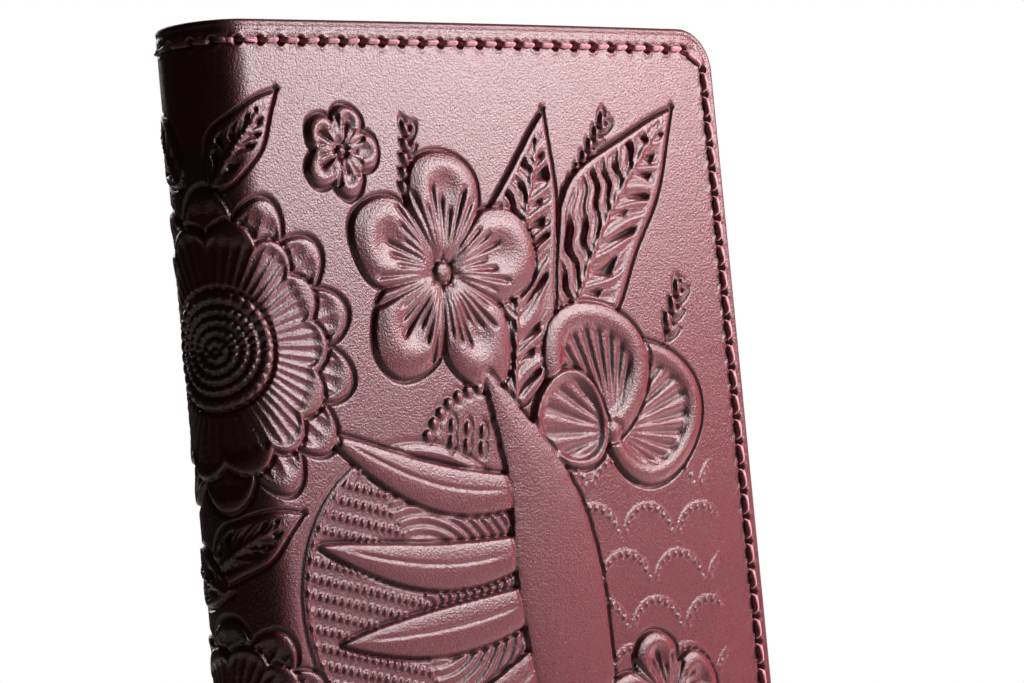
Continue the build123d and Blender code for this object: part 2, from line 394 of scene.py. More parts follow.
def beaded_scales(relief, low, high, pitch=10.5, row=6.6):
    """Ground of overlapping scales drawn with fine ridges, beaded along their upper edges."""
    middle = [(a + b) / 2 for a, b in zip(low, high)]
    if relief.misses(middle, max(high[0] - low[0], high[1] - low[1]) / 2):
        return
    x, y = relief.along - low[0], relief.up - low[1]
    edge_in = np.minimum(np.minimum(x, high[0] - relief.along), np.minimum(y, high[1] - relief.up))
    total = np.zeros_like(x)
    for shift in (0, 1):
        rows = np.floor(y / (2 * row)) * 2 * row + shift * row
        for lift in (0, -2 * row):
            cx = np.round((x - shift * pitch / 2) / pitch) * pitch + shift * pitch / 2
            away = np.hypot(x - cx, y - rows - lift)
            angle = np.arctan2(y - rows - lift, x - cx)
            upper = ramp((np.sin(angle) - 0.15) * 4)
            ridge = bump(away - pitch * 0.5, 0.24) * 0.2
            step = np.pi / 11
            nearest = np.round(angle / step) * step
            off = np.hypot(away * np.cos(angle - nearest) - pitch * 0.5 + 0.55, away * np.sin(angle - nearest))
            total = np.maximum(total, upper * np.maximum(ridge, 0.36 * shoulder(0.42 - off, 0.42)))
    relief.height += total * ramp(edge_in / 2.5)


def rippled_disc(relief, centre, radius, pitch=1.5):
    """Round ground, rippled on one side and set with short beaded rows on the other."""
    if relief.misses(centre, radius + 1.5):
        return
    away, angle = relief.polar(centre)
    inside = radius - away
    ripples = 0.17 * np.cos(2 * np.pi * away / pitch)
    p, q = relief.local(centre, 168)
    row = np.round(q / 2.3) * 2.3
    bead = np.hypot((p - np.round(p / 1.25) * 1.25) * 1.1, q - row)
    dashes = 0.34 * shoulder(0.62 - bead, 0.6) - 0.12
    left = ramp((np.cos(angle - np.radians(190)) - 0.12) * 9)
    relief.lay(inside, ripples * (1 - left) + dashes * left - 0.04, 0.4, 0.3)
    relief.height += 0.45 * bump(away - radius, 0.5)
    relief.height -= 0.22 * bump(away - radius - 1.1, 0.35)


def drops(relief, origin, turn, rows, columns, gap=(3.0, 2.2), size=0.55):
    """Block of small pressed drops that fills the ground between two leaves."""
    if relief.misses(origin, rows * gap[1] + columns * gap[0]):
        return
    p, q = relief.local(origin, turn)
    column = np.clip(np.round(p / gap[0]), 0, columns - 1)
    row = np.clip(np.round(q / gap[1]), 0, rows - 1)
    x, y = p - column * gap[0], (q - row * gap[1]) * 0.55
    inside = size - np.hypot(x, y)
    relief.lay(inside, 0.32 * shoulder(inside, size), 0.2, 0.22)


def front_pattern(relief):
    """Flowers, leaves and grain over the front cover."""
    beaded_scales(relief, (60, 30), (90, 78))
    rippled_disc(relief, (33, 55), 21.5)
    sprig(relief, (36.2, 112), (37.4, 122), 5, 2.0)
    sprig(relief, (64.5, 109), (75.2, 123.3), 8, 2.0)
    sprig(relief, (83.5, 93), (87, 100), 3, 2.0)
    leaf(relief, (63, 92), (87.8, 124.4), 7.8, 2.2, 4.2)
    leaf(relief, (52, 82), (62.6, 123.6), 7.6, 1.6, 3.8)
    flower(relief, (41, 101), 17.2, 5, 84, 0.375, 8)
    flower(relief, (24.6, 117.8), 6.6, 5, 70, 0.4, 3, 0.8, 6, 0.5)
    scallop(relief, (70.5, 78.5), (77.6, 81.6), 10.2, 34, 1.9)
    scallop(relief, (70.5, 78.5), (68.2, 87.2), 10.0, 38, 2.4)
    scallop(relief, (70.5, 78.5), (62.6, 80.2), 7.0, 22, 0.9)
    beads_round(relief, (70.5, 78.5), 0.1, 1.5, 1, 0.8)
    beads_round(relief, (48, 70.5), 14.5, 0.85, 44, 0.5, (95, 155))
    blade(relief, (55, 71), (17, 79), 3.3, 3.6)
    blade(relief, (54, 63), (14.5, 63.5), 3.3, 3.0)
    blade(relief, (55, 56), (17, 50), 3.4, 1.6)
    blade(relief, (56, 49), (27, 33), 3.4, 1.4)
    stem = ((60, 13), (60.5, 28), (58.5, 46), (57.5, 60), (56, 71), (47.5, 86.5))
    stalk(relief, stem, (6.4, 6.9, 7.6, 8.4, 6.0, 0.7))
    drops(relief, (40, 77.5), -10, 2, 3, (2.8, 2.3))
    leaf(relief, (66, 16), (88, 30), 6.2, 1.6)
    sprig(relief, (41, 19), (48, 32), 6, 2.1)
    leaf(relief, (54, 22), (34, 9.5), 5.2, -1.2)
    flower(relief, (76, 40), 11.0, 5, 30, 0.385, 7, 1.3)
    flower(relief, (24, 21), 12.5, 5, 50, 0.385, 7, 1.3)


def back_pattern(relief):
    """Flowers, leaves and grain over the back cover."""
    rippled_disc(relief, (-62, 46), 19.0)
    beaded_scales(relief, (-90, 84), (-66, 112))
    leaf(relief, (-38, 56), (-24, 22), 7.0, 2.0)
    leaf(relief, (-46, 58), (-86, 66), 7.0, -2.0)
    leaf(relief, (-44, 68), (-52, 124), 7.2, 2.2)
    leaf(relief, (-40, 66), (-28, 118), 6.4, -2.0)
    sprig(relief, (-56, 92), (-64, 124), 9, 2.2)
    sprig(relief, (-50, 44), (-44, 14), 9, 2.2)
    flower(relief, (-44, 64), 18.5, 5, 90, 0.385, 8)
    flower(relief, (-74, 96), 12.0, 5, 40, 0.385, 7, 1.3)
    flower(relief, (-76, 24), 13.0, 5, 10, 0.385, 7, 1.3)
    flower(relief, (-24, 120), 6.4, 6, 0, 0.5, 3, 0.9, 6, 0.5)
    flower(relief, (-26, 14), 6.8, 6, 0, 0.5, 3, 0.9, 6, 0.5)
    scallop(relief, (-60, 28), (-54, 24), 7.0, 26, 1.6)
    beads_round(relief, (-62, 46), 23.0, 0.8, 70, 0.4, (200, 330))


def spine_pattern(relief):
    """What runs round the spine from one cover to the other."""
    rosette(relief, (1.5, 91), 20.5)
    rosette(relief, (-2.0, 38), 15.5, 12, 10)
    leaf(relief, (-3, 60), (12, 68), 3.6, 0.8, 2.4)
    leaf(relief, (0, 58), (-14, 64), 3.6, -0.8, 2.4)
    leaf(relief, (3, 113), (14, 126), 3.4, 0.8, 2.4)
    leaf(relief, (-2, 114), (-12, 126), 3.4, -0.8, 2.4)
    beads_round(relief, (0, 11), 5.0, 0.7, 22, 0.4, (10, 170))


def seam_holes(side):
    """A cover's stitch holes: along the top, down the fore-edge and back along the bottom."""
    first = OUTER_BEND + PITCH / 2
    steps = int((SEAM_COLUMN - first) / PITCH)
    row = [SEAM_COLUMN - PITCH * step for step in range(steps, 0, -1)]
    drop = SEAM_TOP - SEAM_MARGIN - 2 * CORNER_STEP
    rungs = round(drop / PITCH)
    holes = [(along, SEAM_TOP) for along in row]
    holes += [(SEAM_COLUMN, SEAM_TOP - CORNER_STEP - drop * rung / rungs) for rung in range(rungs + 1)]
    holes += [(along, SEAM_MARGIN) for along in row[::-1]]
    return [(-side * along, up) for along, up in holes]


def spine_holes():
    """Stitch holes over the spine, from the front cover's first hole to the back cover's."""
    half = PITCH / 2
    row = [abs(seam_holes(FRONT)[0][0]), STRIP_MIDDLE + half, STRIP_MIDDLE - half, half]
    return row + [-along for along in row[::-1]]


def press_row(relief, places, run, across, within):
    """One row of stitch holes, and the channel that the tight thread presses."""
    index = np.clip(np.searchsorted(places, run), 1, len(places) - 1)
    lower, upper = places[index - 1], places[index]
    nearest = np.where(run - lower < upper - run, lower, upper)
    off = np.hypot(run - nearest, across)
    channel = 0.16 * bump(across, 0.75) * within
    # The deep press at each hole also gives it the groove colour of the hide's finish: painted shade in the hole.
    hole = HOLE_DEPTH * ramp((HOLE * HOLE_SHARE - off) / 0.45)
    relief.height -= channel + hole - 0.1 * bump(off - 0.95, 0.3)


def press_seam(relief):
    """Stitch holes and channels along the top, the bottom and both fore-edges."""
    rows = [along for along, up in seam_holes(FRONT) if up == SEAM_TOP]
    lengthwise = np.array(sorted(set(rows + spine_holes() + [-along for along in rows])))
    columns = np.array(sorted(up for along, up in seam_holes(FRONT) if along == SEAM_COLUMN))
    for up in (SEAM_MARGIN, SEAM_TOP):
        across = relief.up - up
        if (np.abs(across) < SEAM_REACH).any():
            within = np.abs(relief.along) < SEAM_COLUMN - 1
            press_row(relief, lengthwise, relief.along, across, within)
    for side in (-1, 1):
        across = relief.along - side * SEAM_COLUMN
        if (np.abs(across) < SEAM_REACH).any():
            within = (relief.up > columns[0] - 1) & (relief.up < columns[-1] + 1)
            press_row(relief, columns, relief.up, across, within)


def pressed_height(along, up):
    """Height of the finished outer face over the plain hide, in millimetres."""
    relief = Relief(along, up)
    front_pattern(relief)
    back_pattern(relief)
    spine_pattern(relief)
    relief.height = np.where(relief.height > 0, RAISE * relief.height, SINK * relief.height)
    press_seam(relief)
    return relief.height


# ---------------------------------------------------------------- sheets


CLOSE = np.array([0.0, 0.07, 0.17, 0.31, 0.48, 0.7])  # steps by a rounded edge


def steps_between(low, high, cell):
    """Even places from low to high with closer ones by both ends, for the rounded edges."""
    middle = np.linspace(low + 1, high - 1, max(int((high - low - 2) / cell), 2) + 1)
    return np.concatenate([low + CLOSE, middle, high - CLOSE[::-1]])


def grid_normals(points):
    """Unit normals of a grid of points."""
    across = np.gradient(points, axis=1)
    down = np.gradient(points, axis=0)
    normals = np.cross(across, down)
    return normals / np.maximum(np.linalg.norm(normals, axis=-1, keepdims=True), 1e-12)


def add_object(name, data):
    obj = bpy.data.objects.new(name, data)
    bpy.context.scene.collection.objects.link(obj)
    return obj


class Solid:
    """Closed mesh gathered from sheets."""

    def __init__(self):
        self.points, self.normals, self.press = [], [], []
        self.quads, self.rims = [], []
        self.count = 0

    def sheet(self, face, back, press, normals=None, skip=1):
        """A finished face and its back, as grids of points, closed round their edges."""
        rows, columns = face.shape[:2]
        kept = np.unique(np.append(np.arange(0, columns, skip), columns - 1))
        back = back[:, kept]
        number = self.count + np.arange(rows * columns).reshape(rows, columns)
        under = self.count + rows * columns + np.arange(rows * len(kept)).reshape(rows, len(kept))
        facing = grid_normals(face)
        turned = np.einsum("ijk,ijk->", facing[:, kept], face[:, kept] - back) < 0
        if normals is not None:
            facing = normals
        elif turned:
            facing = -facing

        def cells(grid):
            return np.stack([grid[:-1, :-1], grid[:-1, 1:], grid[1:, 1:], grid[1:, :-1]], -1).reshape(-1, 4)

        def side(edge, far):
            return np.stack([edge[:-1], edge[1:], far[1:], far[:-1]], -1)

        quads = [cells(number), cells(under)[:, ::-1], side(number[:, 0], under[:, 0])]
        quads.append(side(number[:, -1], under[:, -1])[:, ::-1])
        rims = [np.concatenate([number[0][::-1], under[0]]), np.concatenate([number[-1], under[-1][::-1]])]
        if turned:
            quads = [quad[:, ::-1] for quad in quads]
            rims = [rim[::-1] for rim in rims]
        self.quads += quads
        self.rims += rims
        self.points += [face.reshape(-1, 3), back.reshape(-1, 3)]
        self.normals += [facing.reshape(-1, 3), np.zeros((rows * len(kept), 3))]
        self.press += [press.reshape(-1), np.zeros(rows * len(kept))]
        self.count += rows * columns + rows * len(kept)

    def build(self, name, material):
        points, normals = np.concatenate(self.points), np.concatenate(self.normals)
        quads = np.concatenate(self.quads)
        corners = np.concatenate([quads.reshape(-1), *self.rims])
        sizes = np.concatenate([np.full(len(quads), 4), [len(rim) for rim in self.rims]])
        mesh = bpy.data.meshes.new(name)
        mesh.vertices.add(len(points))
        mesh.vertices.foreach_set("co", points.astype(np.float32).reshape(-1))
        mesh.loops.add(len(corners))
        mesh.loops.foreach_set("vertex_index", corners.astype(np.int32))
        mesh.polygons.add(len(sizes))
        mesh.polygons.foreach_set("loop_start", (np.cumsum(sizes) - sizes).astype(np.int32))
        mesh.update(calc_edges=True)
        on_face = np.any(normals != 0, axis=1)
        first = np.cumsum(sizes) - sizes
        smooth = np.minimum.reduceat(on_face[corners], first) & (sizes == 4)
        mesh.polygons.foreach_set("use_smooth", smooth)
        press = mesh.attributes.new("press", "FLOAT", "POINT")
        press.data.foreach_set("value", np.concatenate(self.press).astype(np.float32))
        given = normals[corners]
        given[np.repeat(~smooth, sizes)] = 0
        mesh.normals_split_custom_set(given.tolist())
        mesh.materials.append(material)
        return add_object(name, mesh)


def edge_drop(distance, radius):
    """How far a rounded edge falls away this near to the edge."""
    inward = np.clip(radius - distance, 0, radius)
    return radius - np.sqrt(np.clip(radius**2 - inward**2, 0, None))


def corner_cut(up, low, high, radius):
    """How far round corners draw the end of a row in."""
    rise = np.clip(radius - np.minimum(up - low, high - up), 0, radius)
    return radius - np.sqrt(np.clip(radius**2 - rise**2, 0, None))


def corner_distance(along, up, far, low, high, radius):
    """Distance from the edge of a sheet with two round corners at its far end."""
    x = np.clip(along - (far - radius), 0, None)
    y = np.clip(np.maximum(up - (high - radius), low + radius - up), 0, None)
    in_corner = (x > 0) & (y > 0)
    straight = np.minimum(far - along, np.minimum(up - low, high - up))
    return np.where(in_corner, radius - np.hypot(x, y), straight)


def nearest_hole(along, up, holes):
    """Distance from the nearest of a seam's holes."""
    best = np.full(along.shape, 9.0)
    for hole_along, hole_up in holes:
        near_row = np.abs(up[:, 0] - hole_up) < 3 if np.ptp(up[0]) < 1e-6 else slice(None)
        away = np.hypot(along[near_row] - hole_along, up[near_row] - hole_up)
        best[near_row] = np.minimum(best[near_row], away)
    return best


def dimples(along, up, holes, hole=HOLE):
    """How deep the stitches draw a soft sheet in."""
    away = nearest_hole(along, up, holes)
    return 0.5 * ramp((hole * 0.6 - away) / 0.45) + 0.18 * bump(away, 1.3)


def declare(obj, slot, *replaced):
    if replaced:
        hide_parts(*replaced)
    return obj


def carry(obj, bend):
    """Bake a piece's placing into its mesh; the two join lines of its bend are found on the hide but not used."""
    hide_point(JOIN_LINES[bend])
    hide_point(JOIN_LINES[bend + 1])
    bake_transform(obj)


# ---------------------------------------------------------------- materials


def set_input(tree, socket, value):
    """Link a socket from another one, or set its constant."""
    if isinstance(value, bpy.types.NodeSocket):
        tree.links.new(value, socket)
    else:
        socket.default_value = value


class Shade:
    """A socket of a material; arithmetic on it adds Math nodes."""

    def __init__(self, maker, socket):
        self.maker = maker
        self.socket = socket

    def _math(self, operation, first, second=0.0):
        node = self.maker.node("ShaderNodeMath", {"operation": operation}, {0: first, 1: second})
        return Shade(self.maker, node.outputs[0])

    def __add__(self, other):
        return self._math("ADD", self, other)

    def __radd__(self, other):
        return self._math("ADD", other, self)

    def __sub__(self, other):
        return self._math("SUBTRACT", self, other)

    def __rsub__(self, other):
        return self._math("SUBTRACT", other, self)

    def __mul__(self, other):
        return self._math("MULTIPLY", self, other)

    def __rmul__(self, other):
        return self._math("MULTIPLY", other, self)

    def clamp(self):
        return self._math("MINIMUM", self._math("MAXIMUM", self, 0.0), 1.0)


class Finish:
    """A material and the making of its nodes."""

    def __init__(self, name, colour, roughness, **constants):
        self.material = bpy.data.materials.new(name)
        self.material.use_nodes = True
        self.tree = self.material.node_tree
        self.shader = self.tree.nodes["Principled BSDF"]
        self.shader.inputs["Base Color"].default_value = (*colour, 1)
        self.shader.inputs["Roughness"].default_value = roughness
        for socket, value in constants.items():
            self.shader.inputs[socket.replace("_", " ")].default_value = value

    def node(self, kind, settings, values):
        """Any node: its settings first, then the values or links of its sockets."""
        node = self.tree.nodes.new(kind)
        for setting, value in settings.items():
            setattr(node, setting, value)
        for socket, value in values.items():
            source = value.socket if isinstance(value, Shade) else value
            set_input(self.tree, node.inputs[socket], source)
        return node

    def places(self):
        return Shade(self, self.node("ShaderNodeTexCoord", {}, {}).outputs["Object"])

    def attribute(self, name):
        node = self.node("ShaderNodeAttribute", {"attribute_name": name}, {})
        return Shade(self, node.outputs["Fac"])

    def noise(self, scale, detail=3.0, rough=0.55):
        values = {"Vector": self.places(), "Scale": scale, "Detail": detail, "Roughness": rough}
        return Shade(self, self.node("ShaderNodeTexNoise", {}, values).outputs["Fac"])

    def cells(self, scale, feature="F1", spread=1.0):
        values = {"Vector": self.places(), "Scale": scale, "Randomness": spread}
        node = self.node("ShaderNodeTexVoronoi", {"feature": feature}, values)
        return Shade(self, node.outputs["Distance"])

    def mix(self, share, first, second):
        """Mix of two colours."""
        colours = [c if isinstance(c, Shade) else (*c, 1) for c in (first, second)]
        node = self.node("ShaderNodeMix", {"data_type": "RGBA"}, {0: share, 6: colours[0], 7: colours[1]})
        return Shade(self, node.outputs[2])

    def feed(self, socket, shade):
        self.tree.links.new(shade.socket, self.shader.inputs[socket])

    def rough_up(self, height, depth, strength=1.0):
        """Bump from a height between 0 and 1, over a depth in metres."""
        node = self.node("ShaderNodeBump", {}, {"Strength": strength, "Distance": depth, "Height": height})
        self.feed("Normal", Shade(self, node.outputs["Normal"]))


def hide_finish(colour, groove_shade_colour, roughness):
    finish = Finish("hide finish", colour, roughness, IOR=1.5, Specular_IOR_Level=0.5)
    press = finish.attribute("press")
    pebbles = finish.cells(1 / 0.00036, "F1", 0.9)
    fine = finish.noise(1 / 0.00022, 2)
    cloudy = finish.noise(1 / 0.012, 3)
    # Places pressed below the face turn towards the groove colour: mostly painted shade in the grooves and stitch
    # holes, partly antique dye. The same mask also roughens them.
    sunk_shade = (press * -2.2 - 0.15).clamp()
    worn = (press * 1.1 - 0.25).clamp() * 0.5
    body = finish.mix(cloudy, [c * 0.82 for c in colour], [c * 1.16 for c in colour])
    raised = finish.mix(worn, body, [c * 1.25 + 0.02 for c in colour])
    finish.feed("Base Color", finish.mix(sunk_shade, raised, groove_shade_colour))
    finish.feed("Roughness", roughness + (fine - 0.5) * 0.16 + (pebbles - 0.4) * 0.12 + sunk_shade * 0.35)
    finish.rough_up(1.0 - pebbles * 0.7 + fine * 0.9, 0.00006, 0.75)
    return finish.material


def plain_leather_finish(colour, roughness):
    finish = Finish("pocket leather finish", colour, roughness, IOR=1.5)
    grain = finish.cells(1 / 0.0006)
    fine = finish.noise(1 / 0.0004, 3)
    cloudy = finish.noise(1 / 0.018, 3)
    finish.feed("Base Color", finish.mix(cloudy, [c * 0.8 for c in colour], [c * 1.2 for c in colour]))
    finish.feed("Roughness", roughness + (fine - 0.5) * 0.2)
    finish.rough_up(1.0 - grain * 0.7 + fine * 0.6, 0.00012, 0.55)
    return finish.material


def lining_finish(colour):
    finish = Finish("lining finish", colour, 0.9, Sheen_Weight=0.25, Sheen_Roughness=0.5)
    nap = finish.noise(1 / 0.0003, 4, 0.7)
    brushed = finish.noise(1 / 0.007, 3)
    share = brushed * 0.7 + nap * 0.3
    finish.feed("Base Color", finish.mix(share, [c * 0.7 for c in colour], [c * 1.3 for c in colour]))
    finish.rough_up(nap, 0.00015, 0.6)
    return finish.material


def thread_finish(colour):
    finish = Finish("thread finish", colour, 0.42, Sheen_Weight=0.2)
    fibre = finish.noise(1 / 0.00018, 4, 0.7)
    finish.feed("Base Color", finish.mix(fibre, [c * 0.72 for c in colour], [min(c * 1.25, 1) for c in colour]))
    finish.rough_up(fibre, 0.00006, 0.6)
    return finish.material


# ---------------------------------------------------------------- thread


class Tree:
    """A geometry node tree and the making of its nodes."""

    def __init__(self, name):
        self.tree = bpy.data.node_groups.new(name, "GeometryNodeTree")
        self.sockets = {}
        self.take("Geometry", "NodeSocketGeometry")
        self.tree.interface.new_socket("Geometry", in_out="OUTPUT", socket_type="NodeSocketGeometry")
        self.inputs = self.tree.nodes.new("NodeGroupInput")
        self.output = self.tree.nodes.new("NodeGroupOutput")

    def take(self, name, kind, value=None):
        socket = self.tree.interface.new_socket(name, in_out="INPUT", socket_type=kind)
        if value is not None:
            socket.default_value = value
        self.sockets[name] = socket.identifier

    def node(self, kind, settings=None, **values):
        node = self.tree.nodes.new(kind)
        for setting, value in (settings or {}).items():
            setattr(node, setting, value)
        for name, value in values.items():
            set_input(self.tree, node.inputs[name.replace("_", " ")], value)
        return node

    def math(self, operation, first, second):
        node = self.tree.nodes.new("ShaderNodeMath")
        node.operation = operation
        for socket, value in zip(node.inputs, (first, second)):
            set_input(self.tree, socket, value)
        return node.outputs[0]


def stitch_tree():
    """A stitch of two plies on each point, turned by the point's heading and facing."""
    tree = Tree("Stitches")
    tree.take("Thread width", "NodeSocketFloat", 0.0009)
    tree.take("Rise", "NodeSocketFloat", 0.0005)
    tree.take("Plunge", "NodeSocketFloat", 0.0007)
    tree.take("Sway", "NodeSocketFloat", 0.07)
    tree.take("Seed", "NodeSocketInt", 4)
    tree.take("Material", "NodeSocketMaterial")
    given = tree.inputs.outputs
    line = tree.node("GeometryNodeCurvePrimitiveLine", Start=(-0.5, 0, 0), End=(0.5, 0, 0))
    course = tree.node("GeometryNodeResampleCurve", {"mode": "COUNT"}, Curve=line.outputs[0], Count=9)
    share = tree.node("GeometryNodeSplineParameter").outputs["Factor"]
    half = tree.math("SUBTRACT", share, 0.5)
    arch = tree.math("SUBTRACT", 1.0, tree.math("POWER", tree.math("ABSOLUTE", tree.math("MULTIPLY", half, 2.0), 0), 6.0))
    drop = tree.math("ADD", given["Rise"], given["Plunge"])
    height = tree.math("SUBTRACT", tree.math("MULTIPLY", arch, drop), given["Plunge"])
    lift = tree.node("ShaderNodeCombineXYZ", Z=height)
    raised = tree.node("GeometryNodeSetPosition", Geometry=course.outputs[0], Offset=lift.outputs[0])
    ply = tree.node("GeometryNodeCurvePrimitiveCircle", Resolution=8, Radius=1.0)
    place = tree.node("GeometryNodeInputPosition").outputs[0]
    parts = tree.node("ShaderNodeSeparateXYZ", Vector=place)
    pinch = tree.math("ADD", 0.62, tree.math("MULTIPLY", tree.math("ABSOLUTE", parts.outputs[0], 0), 0.38))
    flat = tree.math("MULTIPLY", tree.math("MULTIPLY", parts.outputs[1], pinch), 0.9)
    half_width = tree.math("MULTIPLY", given["Thread width"], 0.5)
    outline = tree.node(
        "ShaderNodeCombineXYZ",
        X=tree.math("MULTIPLY", parts.outputs[0], half_width),
        Y=tree.math("MULTIPLY", flat, half_width),
    )
    shaped = tree.node("GeometryNodeSetPosition", Geometry=ply.outputs[0], Position=outline.outputs[0])
    twist = tree.node("GeometryNodeSetCurveTilt", Curve=raised.outputs[0], Tilt=tree.math("MULTIPLY", share, 1.3))
    tube = tree.node(
        "GeometryNodeCurveToMesh", Curve=twist.outputs[0], Profile_Curve=shaped.outputs[0], Fill_Caps=True
    )
    soft = tree.node("GeometryNodeSetShadeSmooth", Geometry=tube.outputs[0])
    heading = tree.node("GeometryNodeInputNamedAttribute", {"data_type": "FLOAT_VECTOR"}, Name="heading")
    facing = tree.node("GeometryNodeInputNamedAttribute", {"data_type": "FLOAT_VECTOR"}, Name="facing")
    span = tree.node("GeometryNodeInputNamedAttribute", {"data_type": "FLOAT"}, Name="span")
    turn = tree.node("FunctionNodeAxesToRotation", {"primary_axis": "X", "secondary_axis": "Z"})
    tree.tree.links.new(heading.outputs["Attribute"], turn.inputs[0])
    tree.tree.links.new(facing.outputs["Attribute"], turn.inputs[1])
    sway = tree.node("FunctionNodeRandomValue", {"data_type": "FLOAT"}, Seed=given["Seed"])
    tree.tree.links.new(tree.math("MULTIPLY", given["Sway"], -1.0), sway.inputs[2])
    tree.tree.links.new(given["Sway"], sway.inputs[3])
    swing = tree.node("FunctionNodeAxisAngleToRotation", Axis=(0, 0, 1))
    tree.tree.links.new(sway.outputs[1], swing.inputs["Angle"])
    aim = tree.node("FunctionNodeRotateRotation", {"rotation_space": "LOCAL"}, Rotation=turn.outputs[0])
    tree.tree.links.new(swing.outputs[0], aim.inputs[1])
    stretch = tree.node("ShaderNodeCombineXYZ", X=span.outputs["Attribute"], Y=1.0, Z=1.0)
    placed = tree.node(
        "GeometryNodeInstanceOnPoints",
        Points=given["Geometry"],
        Instance=soft.outputs[0],
        Rotation=aim.outputs[0],
        Scale=stretch.outputs[0],
    )
    real = tree.node("GeometryNodeRealizeInstances", Geometry=placed.outputs[0])
    painted = tree.node("GeometryNodeSetMaterial", Geometry=real.outputs[0], Material=given["Material"])
    tree.tree.links.new(painted.outputs[0], tree.output.inputs[0])
    return tree


def run_modifier(name, source, tree, **values):
    """Plain mesh object made by a node tree from a source mesh."""
    holder = add_object(name + " course", source)
    modifier = holder.modifiers.new("Stitches", "NODES")
    modifier.node_group = tree.tree
    for key, value in values.items():
        modifier[tree.sockets[key.replace("_", " ")]] = value
    graph = bpy.context.evaluated_depsgraph_get()
    mesh = bpy.data.meshes.new_from_object(holder.evaluated_get(graph), depsgraph=graph)
    mesh.name = name
    bpy.data.objects.remove(holder)
    return add_object(name, mesh)


class Seam:
    """Where the stitches go: pairs of neighbouring holes, on the outer or the inner face."""

    def __init__(self):
        self.middles, self.headings, self.facings, self.spans = [], [], [], []

    def run(self, holes, depth_at, facing, hole=HOLE):
        """Stitches from each hole to the next, on a face whose depth is given for each place."""
        for start, end in zip(holes, holes[1:]):
            ends = [hide_points(along, up, depth_at(along)) for along, up in (start, end)]
            middle_along = (start[0] + end[0]) / 2
            middle_up = (start[1] + end[1]) / 2
            normal = hide_points(middle_along, middle_up, -1.0) - hide_points(middle_along, middle_up, 0.0)
            heading = ends[1] - ends[0]
            self.middles.append((ends[0] + ends[1]) / 2)
            self.headings.append(heading / np.linalg.norm(heading))
            self.facings.append(facing * normal / np.linalg.norm(normal))
            self.spans.append(np.linalg.norm(heading) - 0.55 * hole * MM)

    def sew(self, name, tree, look):
        mesh = bpy.data.meshes.new(name)
        mesh.from_pydata([tuple(place) for place in self.middles], [], [])
        for label, kind, values in (
            ("heading", "FLOAT_VECTOR", self.headings),
            ("facing", "FLOAT_VECTOR", self.facings),
            ("span", "FLOAT", self.spans),
        ):
            field = "vector" if kind == "FLOAT_VECTOR" else "value"
            data = mesh.attributes.new(label, kind, "POINT").data
            data.foreach_set(field, np.array(values, np.float32).reshape(-1))
        return run_modifier(name, mesh, tree, **look)


def keep_between(obj, first, last):
    """The part of a piece between two join lines, with its cuts closed."""
    work = bmesh.new()
    work.from_mesh(obj.data)
    for line, sign in ((first, 1), (last, -1)):
        along = hide_point(line + 0.01) - hide_point(line - 0.01)
        everything = work.verts[:] + work.edges[:] + work.faces[:]
        cut = bmesh.ops.bisect_plane(
            work, geom=everything, plane_co=hide_point(line), plane_no=sign * along, clear_outer=True
        )
        edges = [part for part in cut["geom_cut"] if isinstance(part, bmesh.types.BMEdge)]
        bmesh.ops.holes_fill(work, edges=edges, sides=0)
    work.to_mesh(obj.data)
    work.free()


# ---------------------------------------------------------------- pieces

def signed(side, along):
    """Place along the hide of a place on one of the covers."""
    return -side * np.asarray(along)


def cover_columns(cell):
    near = np.linspace(COVER_START, FORE_EDGE - 1, int((FORE_EDGE - 1 - COVER_START) / cell) + 1)
    return np.concatenate([near, FORE_EDGE - CLOSE[::-1]])


def whole_grid(front_cell, back_cell, bend_cell, row_cell):
    """Places over the whole sheet: along, up, and where each column starts from."""
    bends = []
    for first, last in zip(JOIN_LINES[1:][::-1], JOIN_LINES[:-1][::-1]):
        count = max(int((last - first) / bend_cell), 4)
        bends.append(np.linspace(first, last, count + 1)[:-1])
    back = -cover_columns(back_cell)[::-1]
    base = np.concatenate([back[:-1], *bends, cover_columns(front_cell)])
    rows = steps_between(0, HEIGHT, row_cell)
    along, up = np.meshgrid(base, rows)
    beyond = np.clip(np.abs(along) - COVER_START, 0, None)
    share = beyond / (FORE_EDGE - COVER_START)
    along = along - np.sign(along) * share * corner_cut(up, 0, HEIGHT, CORNER_RADIUS)
    return base, rows, along, up


def between(base, low, high):
    """Columns from one join line to another."""
    first = int(np.argmin(np.abs(base - low)))
    return slice(first, int(np.argmin(np.abs(base - high))) + 1)


def pressed_in_parts(along, up, width=48):
    parts = []
    for first in range(0, along.shape[1], width):
        part = slice(first, first + width)
        parts.append(pressed_height(along[:, part], up[:, part]))
    return np.concatenate(parts, axis=1)


def lay_sheet(name, material, grids, rows, columns, skip):
    face, back, press, normals = grids
    solid = Solid()
    part = (rows, columns)
    solid.sheet(face[part], back[part], press[part], normals[part], skip)
    return solid.build(name, material)


def lay_bends(kind, finish, grids, base, skip):
    """The four strips of a sheet that bend over the joints."""
    for bend, (first, last) in enumerate(zip(JOIN_LINES, JOIN_LINES[1:])):
        name = "_to_".join(BENDS[bend])
        columns = between(base, last, first)
        obj = lay_sheet(f"{name}_{kind}", finish, grids, slice(None), columns, skip)
        declare(obj, kind, *(f"{body}_{kind}" for body in BENDS[bend]))
        carry(obj, bend)


def cover_ranges(base):
    front = between(base, COVER_START, FORE_EDGE)
    back = between(base, -FORE_EDGE, -COVER_START)
    return front, back


